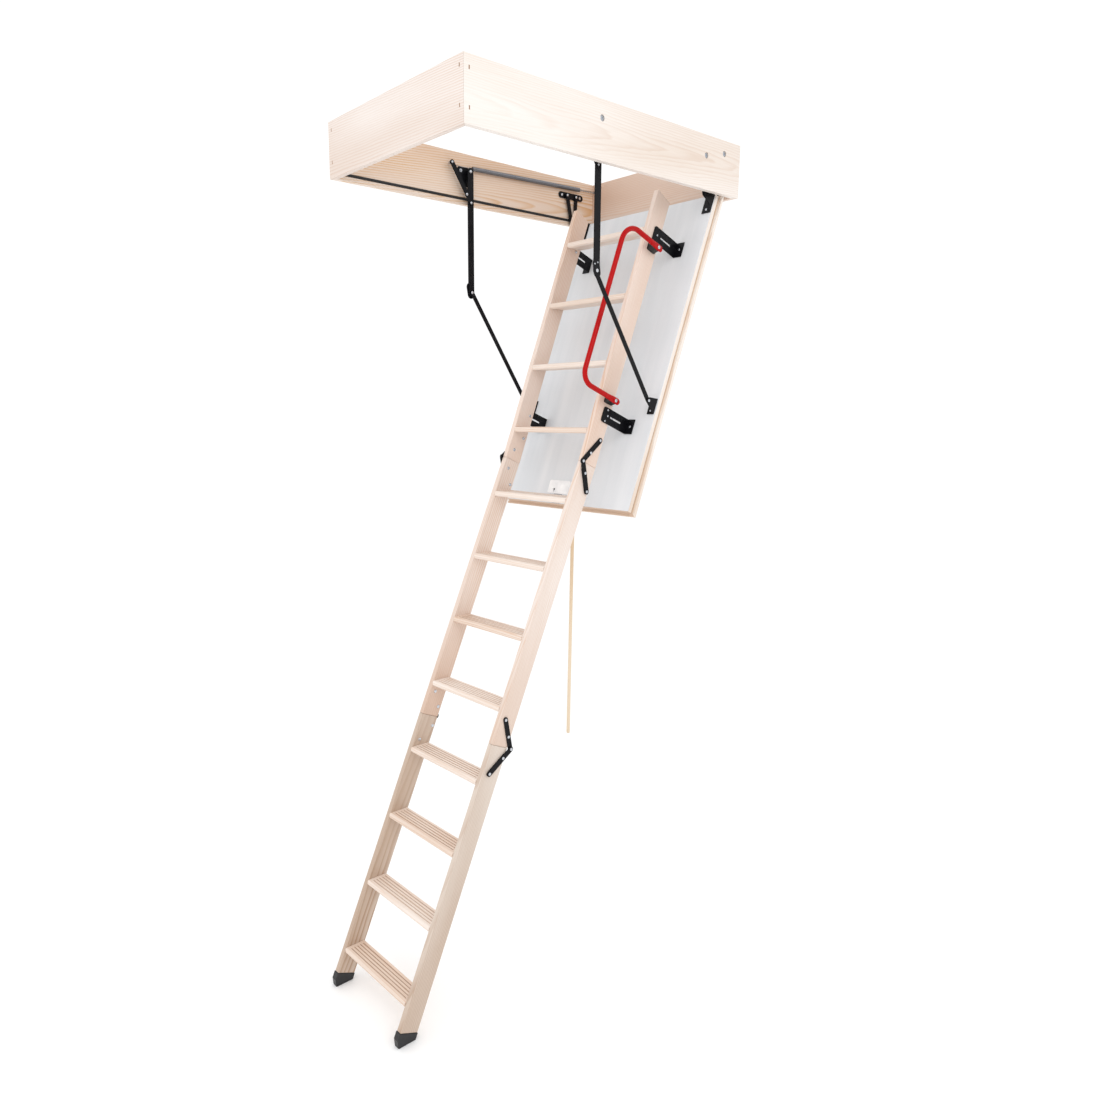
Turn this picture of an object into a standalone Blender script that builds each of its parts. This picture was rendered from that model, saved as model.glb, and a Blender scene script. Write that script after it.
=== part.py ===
"""Folding attic ladder: a timber box frame, a hinged hatch and a three-section wooden ladder.

World frame: origin at the centre of the frame opening, level with the underside of the frame.
+X runs towards the hinge end, +Y towards the far side board, +Z is up. Units are metres.
Every moving body hangs on an empty that stands on its joint axis.
"""
import math

import bmesh
import bpy
from mathutils import Matrix, Vector

# ---- frame
FRAME_L, FRAME_W, FRAME_H = 1.200, 0.700, 0.170
BOARD = 0.018
GAP = 0.0003                      # play between pieces that touch
WALL = FRAME_W / 2 - BOARD        # inner face of the side boards
# ---- hatch, in its own frame: x up along the hatch, z out towards the ladder
HATCH_ANGLE = 69.0
HATCH_ORIGIN = Vector((0.1365, 0.0, -1.0782))
HATCH_X0, HATCH_X1 = -0.002, 1.160
HATCH_HALF_W = 0.328
LIP, LIP_T, HATCH_T, SKIN_T = 0.012, 0.009, 0.034, 0.003
EDGING_W = 0.036
# ---- ladder
STILE_IN, STILE_T, STILE_D = 0.185, 0.020, 0.070
STILE_OUT = STILE_IN + STILE_T
TREAD_T, TREAD_D, TREAD_PITCH = 0.0195, 0.078, 0.2416
TREAD_BACK = 0.0035               # lower front edge of a tread behind the front of its stiles
S1_BOTTOM, S1_TOP, S1_FRONT = 0.127, 1.100, 0.1935
S2_ANGLE = 66.43
S2_LEN, S3_LEN = 0.981, 0.938
PIVOT_FRONT = 0.001               # first hinge axis stands this far in front of the stiles
PIVOT_BACK = 0.012                # second hinge axis stands this far behind the stiles
S1_TREADS = [0.949 - TREAD_PITCH * k for k in range(4)]
S2_TREADS = [-0.1534 - TREAD_PITCH * k for k in range(4)]
S3_TREADS = [-0.1435 - TREAD_PITCH * k for k in range(4)]
# ---- linkages (x, z in the world; y is the distance from the middle)
PIN_R, PLATE_T = 0.003, 0.003
PIVOT_A, PIVOT_B = (0.430, 0.108), (0.482, 0.108)
PIN_C, PIN_D = (1.14974, 0.07795), (1.12409, 0.08953)           # in the hatch frame
ARM_PIVOT, ELBOW = (-0.060, 0.108), (-0.059, -0.303)
PIN_K = (0.38510, 0.07445)                                      # in the hatch frame
LEVER_TIP = (-0.143, 0.1255)
SPRING_START, SPRING_END, CHAIN_END = (-0.043, 0.1225), (0.497, 0.1375), (0.5813, 0.1398)
SPRING_Y, SPRING_R = 0.322, 0.0075
# ---- handrail and pole
RAIL_Y, RAIL_R, RAIL_OUT = 0.235, 0.0085, 0.323
RAIL_TOP, RAIL_BOTTOM, RAIL_END = 0.906, 0.356, 0.128
POLE_TOP, POLE_END, POLE_Y, POLE_R = (0.1358, -1.0835), (0.1268, -1.928), -0.03, 0.0065

SIDES = (("near", -1.0), ("far", 1.0))


# ---------------------------------------------------------------- scene set-up
def clear():
    for ob in list(bpy.data.objects):
        bpy.data.objects.remove(ob, do_unlink=True)


def material(name, colour, rough, metal=0.0):
    mat = bpy.data.materials.new(name)
    mat.use_nodes = True
    bsdf = mat.node_tree.nodes["Principled BSDF"]
    bsdf.inputs["Base Color"].default_value = (*colour, 1.0)
    bsdf.inputs["Roughness"].default_value = rough
    bsdf.inputs["Metallic"].default_value = metal
    return mat


clear()
PARTS = bpy.data.collections.new("attic_ladder")
SCRAP = bpy.data.collections.new("cutters")
bpy.context.scene.collection.children.link(PARTS)
bpy.context.scene.collection.children.link(SCRAP)

PINE = material("white_lacquered_pine", (0.86, 0.74, 0.60), 0.45)
STEEL = material("black_steel", (0.012, 0.012, 0.013), 0.38, 0.3)
PANEL = material("light_grey_panel", (0.74, 0.75, 0.76), 0.5)
RUBBER = material("black_plastic", (0.012, 0.012, 0.012), 0.6)
RED = material("red_lacquer", (0.60, 0.012, 0.012), 0.25, 0.1)
SPRING = material("spring_steel", (0.20, 0.21, 0.22), 0.35, 0.9)


def axis(name, x, z, angle=0.0, parent=None):
    """An empty on a joint axis; angle tilts its x axis up from the world's."""
    ob = bpy.data.objects.new(name, None)
    PARTS.objects.link(ob)
    ob.matrix_world = Matrix.Translation((x, 0, z)) @ Matrix.Rotation(math.radians(-angle), 4, "Y")
    return ob


def place(name, mesh, mat, body, offset=(0.0, 0.0, 0.0)):
    ob = bpy.data.objects.new(name, mesh)
    mesh.materials.clear()
    mesh.materials.append(mat)
    PARTS.objects.link(ob)
    ob.parent = body
    ob.location = offset
    return ob


def bevel(ob, width, segments=2):
    mod = ob.modifiers.new("soft edges", "BEVEL")
    mod.width, mod.segments, mod.limit_method, mod.angle_limit = width, segments, "ANGLE", math.radians(40)
    return ob


def smooth(mesh):
    for face in mesh.polygons:
        face.use_smooth = True
    return mesh


# ---------------------------------------------------------------- shapes
def box_mesh(name, x0, x1, y0, y1, z0, z1):
    bm = bmesh.new()
    size = Matrix.Diagonal((x1 - x0, y1 - y0, z1 - z0, 1.0))
    middle = Matrix.Translation(((x0 + x1) / 2, (y0 + y1) / 2, (z0 + z1) / 2))
    bmesh.ops.create_cube(bm, size=1.0, matrix=middle @ size)
    mesh = bpy.data.meshes.new(name)
    bm.to_mesh(mesh)
    bm.free()
    return mesh


def curve_mesh(curve, turn=Matrix.Identity(4)):
    """The mesh of a curve, welded, with the given placement applied."""
    ob = bpy.data.objects.new(curve.name, curve)
    SCRAP.objects.link(ob)
    bpy.context.view_layer.update()
    mesh = bpy.data.meshes.new_from_object(ob.evaluated_get(bpy.context.evaluated_depsgraph_get()))
    bm = bmesh.new()
    bm.from_mesh(mesh)
    bmesh.ops.remove_doubles(bm, verts=bm.verts, dist=1e-6)
    bmesh.ops.transform(bm, matrix=turn, verts=bm.verts)
    bmesh.ops.recalc_face_normals(bm, faces=bm.faces)
    bm.to_mesh(mesh)
    bm.free()
    bpy.data.objects.remove(ob, do_unlink=True)
    bpy.data.curves.remove(curve)
    return mesh


def plate_mesh(name, outline, y0, y1, holes=()):
    """A flat plate: its outline and holes lie in x-z and it runs from y0 to y1."""
    curve = bpy.data.curves.new(name, "CURVE")
    curve.dimensions, curve.fill_mode, curve.extrude = "2D", "BOTH", (y1 - y0) / 2
    for loop in [outline, *holes]:
        spline = curve.splines.new("POLY")
        spline.points.add(len(loop) - 1)
        for point, (x, z) in zip(spline.points, loop):
            point.co = (x, z, 0.0, 1.0)
        spline.use_cyclic_u = True
    turn = Matrix.Translation((0, (y0 + y1) / 2, 0)) @ Matrix.Rotation(math.radians(90), 4, "X")
    return curve_mesh(curve, turn)


def ring(x, z, radius, steps=24):
    return [(x + radius * math.cos(2 * math.pi * k / steps), z + radius * math.sin(2 * math.pi * k / steps))
            for k in range(steps)]


def strap(points, radius, steps=8):
    """The outline of a bar with round ends along two points, or of a bent bar along three."""
    rows = [Vector(p) for p in points]
    left, right = [], []
    for k, here in enumerate(rows):
        before = (here - rows[k - 1]).normalized() if k else None
        after = (rows[k + 1] - here).normalized() if k < len(rows) - 1 else None
        if before and after:
            mean = (before + after).normalized()
            side = Vector((-mean.y, mean.x)) * radius / max(0.3, mean.dot(after))
            left.append(here + side)
            right.append(here - side)
            continue
        run = after if before is None else before
        start = math.atan2(run.y, run.x) + (math.pi / 2 if before is None else -math.pi / 2)
        arc = [here + Vector((math.cos(start + math.pi * j / steps), math.sin(start + math.pi * j / steps))) * radius
               for j in range(steps + 1)]
        if before is None:
            first = arc
        else:
            last = arc
    return [tuple(p) for p in first + right + last + left[::-1]]


def pin_mesh(name, x, z, radius, y0, y1, steps=24):
    """A round pin along y."""
    bm = bmesh.new()
    where = Matrix.Translation((x, (y0 + y1) / 2, z)) @ Matrix.Rotation(math.radians(90), 4, "X")
    bmesh.ops.create_cone(bm, cap_ends=True, segments=steps, radius1=radius, radius2=radius,
                          depth=abs(y1 - y0), matrix=where)
    mesh = bpy.data.meshes.new(name)
    bm.to_mesh(mesh)
    bm.free()
    return mesh


def tube_mesh(name, points, radius, resolution=6):
    """A round tube with filled ends along a row of points."""
    curve = bpy.data.curves.new(name, "CURVE")
    curve.dimensions, curve.bevel_depth, curve.bevel_resolution = "3D", radius, resolution
    curve.use_fill_caps = True
    spline = curve.splines.new("POLY")
    spline.points.add(len(points) - 1)
    for point, co in zip(spline.points, points):
        point.co = (*co, 1.0)
    return smooth(curve_mesh(curve))


def corner(centre, radius, start, end, steps):
    """Points of an arc in x-z, angles in degrees."""
    out = []
    for k in range(steps + 1):
        a = math.radians(start + (end - start) * k / steps)
        out.append((centre[0] + radius * math.cos(a), centre[1] + radius * math.sin(a)))
    return out


def fused(base, *others, operation="UNION"):
    """One closed mesh out of several that overlap."""
    stack = []
    for mesh in (base, *others):
        ob = bpy.data.objects.new(mesh.name, mesh)
        SCRAP.objects.link(ob)
        stack.append(ob)
    for tool in stack[1:]:
        tool.hide_render, tool.display_type = True, "WIRE"
        mod = stack[0].modifiers.new("join", "BOOLEAN")
        mod.operation, mod.solver, mod.object = operation, "EXACT", tool
    bpy.context.view_layer.update()
    mesh = bpy.data.meshes.new_from_object(stack[0].evaluated_get(bpy.context.evaluated_depsgraph_get()))
    mesh.name = base.name
    for ob in stack:
        old = ob.data
        bpy.data.objects.remove(ob, do_unlink=True)
        bpy.data.meshes.remove(old)
    return mesh


def across(side, inner, outer):
    """The y range of a layer between two distances from the middle, on one side."""
    return tuple(sorted((side * inner, side * outer)))


# ---------------------------------------------------------------- frame
def build_frame(body):
    half_l, half_w = FRAME_L / 2, FRAME_W / 2
    for word, side in SIDES:
        y0, y1 = across(side, WALL, half_w)
        name = "frame_board_" + word
        bevel(place(name, box_mesh(name, -half_l, half_l, y0, y1, 0, FRAME_H), PINE, body), 0.0012)
    for word, end in (("free_end", -1.0), ("hinge_end", 1.0)):
        x0, x1 = sorted((end * (half_l - BOARD), end * half_l))
        name = "frame_board_" + word
        mesh = box_mesh(name, x0, x1, -WALL + GAP, WALL - GAP, 0, FRAME_H)
        bevel(place(name, mesh, PINE, body), 0.0012)
    for word, side in SIDES:
        build_hinge_plate(body, word, side)
        build_arm_bracket(body, word, side)
        build_spring(body, word, side)


def build_hinge_plate(body, word, side):
    """Plate on the side wall that carries both hatch links on its two pins."""
    name = "hinge_plate_" + word
    outline = strap([(0.402, PIVOT_A[1]), (0.510, PIVOT_A[1])], 0.0115)
    plate = plate_mesh(name, outline, *across(side, WALL - GAP - PLATE_T, WALL - GAP))
    pin_a = pin_mesh("pin", *PIVOT_A, PIN_R, *across(side, 0.3206, WALL - 0.002))
    collar_a = pin_mesh("collar", *PIVOT_A, 0.006, *across(side, 0.3246, WALL - 0.002))
    pin_b = pin_mesh("pin", *PIVOT_B, PIN_R, *across(side, 0.3248, WALL - 0.002))
    place(name, fused(plate, pin_a, collar_a, pin_b), STEEL, body)


def build_arm_bracket(body, word, side):
    """Plate on the side wall with the boss and pin that the folding arm turns on."""
    name = "arm_bracket_" + word
    outline = [(-0.104, 0.118), (-0.099, 0.123), (-0.050, 0.123), (-0.045, 0.118),
               (-0.045, 0.075), (-0.052, 0.060), (-0.066, 0.060), (-0.104, 0.094)]
    plate = plate_mesh(name, outline, *across(side, WALL - GAP - PLATE_T, WALL - GAP))
    boss = pin_mesh("boss", *ARM_PIVOT, 0.008, *across(side, 0.3139, WALL - 0.002))
    pin = pin_mesh("pin", *ARM_PIVOT, PIN_R, *across(side, 0.3092, WALL - 0.002))
    place(name, fused(plate, boss, pin), STEEL, body)


def build_spring(body, word, side):
    """Tension spring with its pull wire and anchor chain, as one turned outline."""
    name = "tension_spring_" + word
    a, b, c, d = (Vector((p[0], 0, p[1])) for p in (LEVER_TIP, SPRING_START, SPRING_END, CHAIN_END))
    run = (d - a).normalized()
    spots = [(p - a).dot(run) for p in (a, b, c, d)]
    rows = [(0.0, spots[0]), (0.0015, spots[0]), (0.0015, spots[1] - 0.006), (SPRING_R, spots[1]),
            (SPRING_R, spots[2]), (0.0022, spots[2] + 0.006), (0.0022, spots[3]), (0.0, spots[3])]
    mesh = bpy.data.meshes.new(name)
    mesh.from_pydata([(r, 0, -z) for r, z in rows], [(k, k + 1) for k in range(len(rows) - 1)], [])
    ob = bpy.data.objects.new(name, mesh)
    SCRAP.objects.link(ob)
    turn = ob.modifiers.new("turn", "SCREW")
    turn.axis, turn.steps, turn.render_steps = "Z", 20, 20
    turn.use_merge_vertices, turn.merge_threshold = True, 1e-5
    bpy.context.view_layer.update()
    made = bpy.data.meshes.new_from_object(ob.evaluated_get(bpy.context.evaluated_depsgraph_get()))
    bpy.data.objects.remove(ob, do_unlink=True)
    lean = run.to_track_quat("-Z", "Y").to_matrix().to_4x4()
    made.transform(Matrix.Translation((a.x, side * SPRING_Y, a.z)) @ lean)
    place(name, smooth(made), SPRING, body)


# ---------------------------------------------------------------- hatch
def hatch_point(s, n):
    """World x and z of a point given up along the hatch and out from its back."""
    a = math.radians(HATCH_ANGLE)
    return (HATCH_ORIGIN.x + s * math.cos(a) - n * math.sin(a),
            HATCH_ORIGIN.z + s * math.sin(a) + n * math.cos(a))


def build_hatch(body):
    s0, n0 = PIN_C
    shift = (-s0, 0.0, -n0)
    body_half = HATCH_HALF_W - LIP
    x0, x1 = HATCH_X0 + LIP, HATCH_X1 - LIP
    inner_half, i0, i1 = body_half - EDGING_W, x0 + EDGING_W, x1 - EDGING_W
    skin = box_mesh("hatch_panel", x0, x1, -body_half, body_half, HATCH_T - SKIN_T, HATCH_T)
    core = box_mesh("core", i0, i1, -inner_half, inner_half, 0.0, HATCH_T - 0.001)
    place("hatch_panel", fused(skin, core), PANEL, body, shift)
    upright = box_mesh("hatch_edging", x0, x1, -body_half, body_half, 0.0, HATCH_T - SKIN_T - GAP)
    lip = box_mesh("lip", HATCH_X0, HATCH_X1, -HATCH_HALF_W, HATCH_HALF_W, 0.0, LIP_T)
    hole = box_mesh("hole", i0 - GAP, i1 + GAP, -inner_half - GAP, inner_half + GAP, -0.01, HATCH_T)
    ring_mesh = fused(fused(upright, lip), hole, operation="DIFFERENCE")
    place("hatch_edging", ring_mesh, PINE, body, shift)
    for word, side in SIDES:
        build_hatch_leaf(body, word, side, shift)
        build_hatch_arm_bracket(body, word, side, shift)
        for level, s in (("upper", 0.958), ("lower", 0.306)):
            build_ladder_bracket(body, "%s_%s" % (word, level), side, s, shift)


def build_hatch_leaf(body, word, side, shift):
    """Angle on the hatch with the rear links' pin and the collar that the front links stand on."""
    name = "hatch_leaf_" + word
    base = HATCH_T + GAP
    outline = [(1.083, base), (1.147, base), (1.1585, 0.075), (1.156, 0.085), (1.135, 0.0985),
               (1.122, 0.0985), (1.1135, 0.092), (1.109, 0.060), (1.102, 0.046), (1.087, 0.043),
               (1.083, 0.040)]
    leaf = plate_mesh(name, outline, *across(side, 0.3127, 0.3157))
    flange = box_mesh("flange", 1.083, 1.147, *across(side, 0.280, 0.3147), base, base + PLATE_T)
    pin_c = pin_mesh("pin", *PIN_C, PIN_R, *across(side, 0.314, 0.3282))
    collar_c = pin_mesh("collar", *PIN_C, 0.006, *across(side, 0.314, 0.3242))
    collar_d = pin_mesh("collar", *PIN_D, 0.006, *across(side, 0.314, 0.3199))
    place(name, fused(leaf, flange, pin_c, collar_c, collar_d), STEEL, body, shift)


def build_hatch_arm_bracket(body, word, side, shift):
    """Angle on the hatch that the folding arm is pinned to."""
    name = "hatch_arm_bracket_" + word
    base = HATCH_T + GAP
    s, n = PIN_K
    outline = [(s - 0.033, base), (s + 0.022, base), (s + 0.012, n), (s + 0.006, n + 0.009),
               (s - 0.006, n + 0.009), (s - 0.012, n)]
    web = plate_mesh(name, outline, *across(side, 0.3096, 0.3126))
    foot = box_mesh("foot", s - 0.033, s + 0.022, *across(side, 0.284, 0.3116), base, base + PLATE_T)
    pin = pin_mesh("pin", s, n, PIN_R, *across(side, 0.3052, 0.311))
    place(name, fused(web, foot, pin), STEEL, body, shift)


def build_ladder_bracket(body, word, side, s, shift):
    """Slotted angle between a stile of the top section and the hatch."""
    name = "ladder_bracket_" + word
    half, base, top = 0.0262, HATCH_T + GAP, 0.163
    wall = STILE_OUT + GAP
    outline = [(s - half, base), (s + half, base), (s + half, top - 0.007), (s + half - 0.002, top - 0.002),
               (s + half - 0.007, top), (s - half + 0.007, top), (s - half + 0.002, top - 0.002),
               (s - half, top - 0.007)]
    slot = strap([(s, 0.070), (s, 0.122)], 0.0032, 6)
    plate = plate_mesh(name, outline, *across(side, wall, wall + PLATE_T), holes=[slot])
    flange = box_mesh("flange", s - half, s + half, *across(side, wall + 0.001, wall + 0.034),
                      base, base + PLATE_T)
    place(name, fused(plate, flange), STEEL, body, shift)


# ---------------------------------------------------------------- ladder
def build_stile(name, body, outline, side, shift=(0.0, 0.0, 0.0)):
    mesh = plate_mesh(name, outline, *across(side, STILE_IN, STILE_OUT))
    return bevel(place(name, mesh, PINE, body, shift), 0.0018)


def build_tread(name, body, x, front, tilt, shift=(0.0, 0.0, 0.0)):
    """A level tread: x and front place its lower front edge, tilt is the angle of its section."""
    half = STILE_IN - GAP
    mesh = box_mesh(name, 0.0, TREAD_D, -half, half, 0.0, TREAD_T)
    ob = bevel(place(name, mesh, PINE, body), 0.003)
    ob.location = (x + shift[0], 0.0, front - TREAD_BACK + shift[2])
    ob.rotation_euler = (0.0, math.radians(tilt), 0.0)
    return ob


def build_section_1(body):
    shift = (-PIN_C[0], 0.0, -PIN_C[1])
    back = S1_FRONT - STILE_D
    wedge = STILE_D * math.tan(math.radians(HATCH_ANGLE - S2_ANGLE))
    outline = [(S1_BOTTOM, S1_FRONT), (S1_BOTTOM - wedge, back), (S1_TOP - 0.012, back), (S1_TOP, S1_FRONT)]
    for word, side in SIDES:
        build_stile("stile_1_" + word, body, outline, side, shift)
        build_leaf(body, "hinge_12_upper_" + word, side, (S1_BOTTOM, S1_FRONT + PIVOT_FRONT),
                   (0.091, -0.055), True, shift)
    for k, x in enumerate(S1_TREADS):
        build_tread("tread_%02d" % (k + 1), body, x, S1_FRONT, HATCH_ANGLE, shift)
    build_handrail(body, shift)


def build_section_2(body):
    front, back = -PIVOT_FRONT, -PIVOT_FRONT - STILE_D
    outline = [(-GAP, front), (-S2_LEN + GAP, front), (-S2_LEN + GAP, back), (-GAP, back)]
    for word, side in SIDES:
        build_stile("stile_2_" + word, body, outline, side)
        build_leaf(body, "hinge_12_lower_" + word, side, (0.0, 0.0), (-0.0885, -0.059), False)
        build_leaf(body, "hinge_23_upper_" + word, side, (-S2_LEN, back - PIVOT_BACK), (0.0885, 0.060), True)
    for k, x in enumerate(S2_TREADS):
        build_tread("tread_%02d" % (k + 5), body, x, front, S2_ANGLE)


def build_section_3(body):
    back = PIVOT_BACK
    front = back + STILE_D
    end = -S3_LEN
    outline = [(-GAP, front), (end, front), (end, back), (-GAP, back)]
    foot = [(end - GAP, front + 0.0015), (-0.963, front + 0.0015), (-0.987, front - 0.012),
            (-0.960, back - 0.0015), (end - GAP, back - 0.0015)]
    for word, side in SIDES:
        build_stile("stile_3_" + word, body, outline, side)
        mesh = plate_mesh("foot_" + word, foot, *across(side, STILE_IN - 0.0015, STILE_OUT + 0.0015))
        bevel(place("foot_" + word, mesh, RUBBER, body), 0.0015)
        build_leaf(body, "hinge_23_lower_" + word, side, (0.0, 0.0), (-0.0935, 0.0595), False)
    for k, x in enumerate(S3_TREADS):
        build_tread("tread_%02d" % (k + 9), body, x, front, S2_ANGLE)


def build_leaf(body, name, side, pivot, arm, has_pin, shift=(0.0, 0.0, 0.0)):
    """One leaf of a section hinge: a bar from its pivot along a stile, upper with the pin."""
    low, high = STILE_OUT + GAP, STILE_OUT + GAP + PLATE_T
    end = (pivot[0] + arm[0], pivot[1] + arm[1])
    if has_pin:
        bar = plate_mesh(name, strap([pivot, end], 0.0088), *across(side, low, high))
        pin = pin_mesh("pin", *pivot, 0.0035, *across(side, low + 0.001, high + GAP + PLATE_T))
        return place(name, fused(bar, pin), STEEL, body, shift)
    near = (pivot[0] + arm[0] * 0.28, pivot[1] + arm[1] * 0.28)
    layer = across(side, high + GAP, high + GAP + PLATE_T)
    bar = plate_mesh(name, strap([pivot, end], 0.0088), *layer, holes=[ring(*pivot, 0.0038)])
    pad = plate_mesh("pad", strap([near, end], 0.0078), *across(side, low, high + GAP + 0.001))
    return place(name, fused(bar, pad), STEEL, body, shift)


def build_handrail(body, shift):
    """Bent grab rail on the near stile, and the two blocks that hold it off the stile."""
    r1, r2, y = 0.062, 0.046, -RAIL_Y
    path = [(RAIL_TOP, RAIL_END)]
    path += corner((RAIL_TOP - r1, RAIL_OUT - r1), r1, 0, 90, 10)
    path += corner((RAIL_BOTTOM + r2, RAIL_OUT - r2), r2, 90, 180, 8)
    path += [(RAIL_BOTTOM, RAIL_END)]
    place("handrail", tube_mesh("handrail", [(x, y, z) for x, z in path], RAIL_R), RED, body, shift)
    y0, y1 = across(-1.0, STILE_OUT + GAP, RAIL_Y - RAIL_R - GAP)
    for word, x in (("upper", RAIL_TOP), ("lower", RAIL_BOTTOM)):
        name = "handrail_block_" + word
        mesh = box_mesh(name, x - 0.010, x + 0.010, y0, y1, 0.134, 0.172)
        bevel(place(name, mesh, RUBBER, body, shift), 0.0015, 1)


# ---------------------------------------------------------------- linkages
def build_links(rear, front, middle_c, middle_d):
    """Flat bars between the hinge plates and the hatch leaves."""
    for word, side in SIDES:
        end = (middle_c[0] - PIVOT_B[0], middle_c[1] - PIVOT_B[1])
        mesh = plate_mesh("rear_link_" + word, strap([(0, 0), end], 0.008), *across(side, 0.3246, 0.3281),
                          holes=[ring(0, 0, 0.0033), ring(*end, 0.0033)])
        place("rear_link_" + word, mesh, STEEL, rear)
        end = (middle_d[0] - PIVOT_A[0], middle_d[1] - PIVOT_A[1])
        mesh = plate_mesh("front_link_" + word, strap([(0, 0), end], 0.008), *across(side, 0.3203, 0.3242),
                          holes=[ring(0, 0, 0.0033), ring(*end, 0.0052)])
        place("front_link_" + word, mesh, STEEL, front)


def build_arms(upper, lower, middle_k):
    """Folding arms: the upper one carries the spring lever, the lower one reaches the hatch."""
    elbow = (ELBOW[0] - ARM_PIVOT[0], ELBOW[1] - ARM_PIVOT[1])
    tip = (LEVER_TIP[0] - ARM_PIVOT[0], LEVER_TIP[1] - ARM_PIVOT[1])
    for word, side in SIDES:
        arm = plate_mesh("upper_arm_" + word, strap([(0, 0), elbow], 0.0125), *across(side, 0.3096, 0.3136),
                         holes=[ring(0, 0, 0.0033)])
        lever = plate_mesh("lever", strap([tip, (0.001, -0.105)], 0.008), *across(side, 0.3062, 0.3106))
        stud = pin_mesh("stud", *tip, 0.0025, *across(side, 0.308, 0.3202))
        pin = pin_mesh("pin", *elbow, PIN_R, *across(side, 0.3054, 0.311))
        place("upper_arm_" + word, fused(arm, lever, stud, pin), STEEL, upper)
        end = (middle_k[0] - ELBOW[0], middle_k[1] - ELBOW[1])
        mesh = plate_mesh("lower_arm_" + word, strap([(0, 0), end], 0.0075), *across(side, 0.3054, 0.3093),
                          holes=[ring(0, 0, 0.0033), ring(*end, 0.0044)])
        place("lower_arm_" + word, mesh, STEEL, lower)


def build_pole(body):
    """Turned opening pole with a thin hook end."""
    top, end = Vector((POLE_TOP[0], 0, POLE_TOP[1])), Vector((POLE_END[0], 0, POLE_END[1]))
    length = (end - top).length
    rows = [(0.0, 0.0), (0.002, 0.0), (0.002, 0.020), (POLE_R, 0.026), (POLE_R, length - 0.003),
            (POLE_R - 0.003, length), (0.0, length)]
    mesh = bpy.data.meshes.new("opening_pole")
    mesh.from_pydata([(r, 0, -z) for r, z in rows], [(k, k + 1) for k in range(len(rows) - 1)], [])
    ob = bpy.data.objects.new("opening_pole", mesh)
    SCRAP.objects.link(ob)
    turn = ob.modifiers.new("turn", "SCREW")
    turn.axis, turn.steps, turn.render_steps = "Z", 20, 20
    turn.use_merge_vertices, turn.merge_threshold = True, 1e-5
    bpy.context.view_layer.update()
    made = bpy.data.meshes.new_from_object(ob.evaluated_get(bpy.context.evaluated_depsgraph_get()))
    bpy.data.objects.remove(ob, do_unlink=True)
    lean = (end - top).normalized().to_track_quat("-Z", "Y").to_matrix().to_4x4()
    made.transform(Matrix.Translation((0, POLE_Y, 0)) @ lean)
    place("opening_pole", smooth(made), PINE, body)


# ---------------------------------------------------------------- assembly
def main():
    middle_c, middle_d, middle_k = (hatch_point(*p) for p in (PIN_C, PIN_D, PIN_K))
    pivot_12 = hatch_point(S1_BOTTOM, S1_FRONT + PIVOT_FRONT)
    a = math.radians(S2_ANGLE)
    s, n = -S2_LEN, -PIVOT_FRONT - STILE_D - PIVOT_BACK
    pivot_23 = (pivot_12[0] + s * math.cos(a) - n * math.sin(a), pivot_12[1] + s * math.sin(a) + n * math.cos(a))
    build_frame(axis("frame_origin", 0.0, 0.0))
    hatch = axis("hatch_axis", *middle_c, HATCH_ANGLE)
    build_hatch(hatch)
    build_section_1(hatch)
    build_section_2(axis("section_2_axis", *pivot_12, S2_ANGLE))
    build_section_3(axis("section_3_axis", *pivot_23, S2_ANGLE))
    build_links(axis("rear_link_axis", *PIVOT_B), axis("front_link_axis", *PIVOT_A), middle_c, middle_d)
    build_arms(axis("upper_arm_axis", *ARM_PIVOT), axis("elbow_axis", *ELBOW), middle_k)
    build_pole(axis("pole_axis", *POLE_TOP))
    bpy.context.scene.collection.children.unlink(SCRAP)
    bpy.data.collections.remove(SCRAP)


main()
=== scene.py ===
"""Looks of the folding attic ladder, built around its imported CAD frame.

World frame as in the CAD: origin at the middle of the frame's opening on its underside, +X to the
hinge end, +Y to the far side board, +Z up, metres. Pieces are made in place in that frame.
"""
import math

import bmesh
import bpy
from mathutils import Matrix, Vector


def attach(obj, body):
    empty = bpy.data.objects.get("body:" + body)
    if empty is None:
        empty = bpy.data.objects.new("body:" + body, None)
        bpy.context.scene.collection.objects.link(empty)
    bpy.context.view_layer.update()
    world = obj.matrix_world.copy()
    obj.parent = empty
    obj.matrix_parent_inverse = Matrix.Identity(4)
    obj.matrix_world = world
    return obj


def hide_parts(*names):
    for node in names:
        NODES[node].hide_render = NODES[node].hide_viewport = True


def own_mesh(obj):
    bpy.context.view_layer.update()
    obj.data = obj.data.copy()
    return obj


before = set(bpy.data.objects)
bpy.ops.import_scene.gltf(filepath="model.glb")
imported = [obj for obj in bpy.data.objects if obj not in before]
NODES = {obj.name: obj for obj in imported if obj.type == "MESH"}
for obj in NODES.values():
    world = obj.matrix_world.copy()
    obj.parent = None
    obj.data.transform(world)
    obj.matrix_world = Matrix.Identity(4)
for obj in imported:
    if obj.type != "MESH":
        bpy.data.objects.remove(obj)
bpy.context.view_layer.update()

# ---------------------------------------------------------------- sizes shared with the CAD
HALF_L, HALF_W, HEIGHT, BOARD = 0.600, 0.350, 0.170, 0.018
WALL = HALF_W - BOARD
HATCH_ANGLE = math.radians(69.0)
HATCH_ORIGIN = (0.1365, -1.0782)
S2_ANGLE = math.radians(66.43)
PIVOT_12 = (0.000431, -0.889933)
PIVOT_23 = (-0.315765, -1.822279)
HATCH_X0, HATCH_X1, HATCH_HALF_W = -0.002, 1.160, 0.328
SURFACE = 0.034                    # hatch surface above the back of the hatch
PLATE = 0.0033                     # a steel plate and the play behind it
STILE_IN, STILE_OUT = 0.185, 0.205
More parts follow.
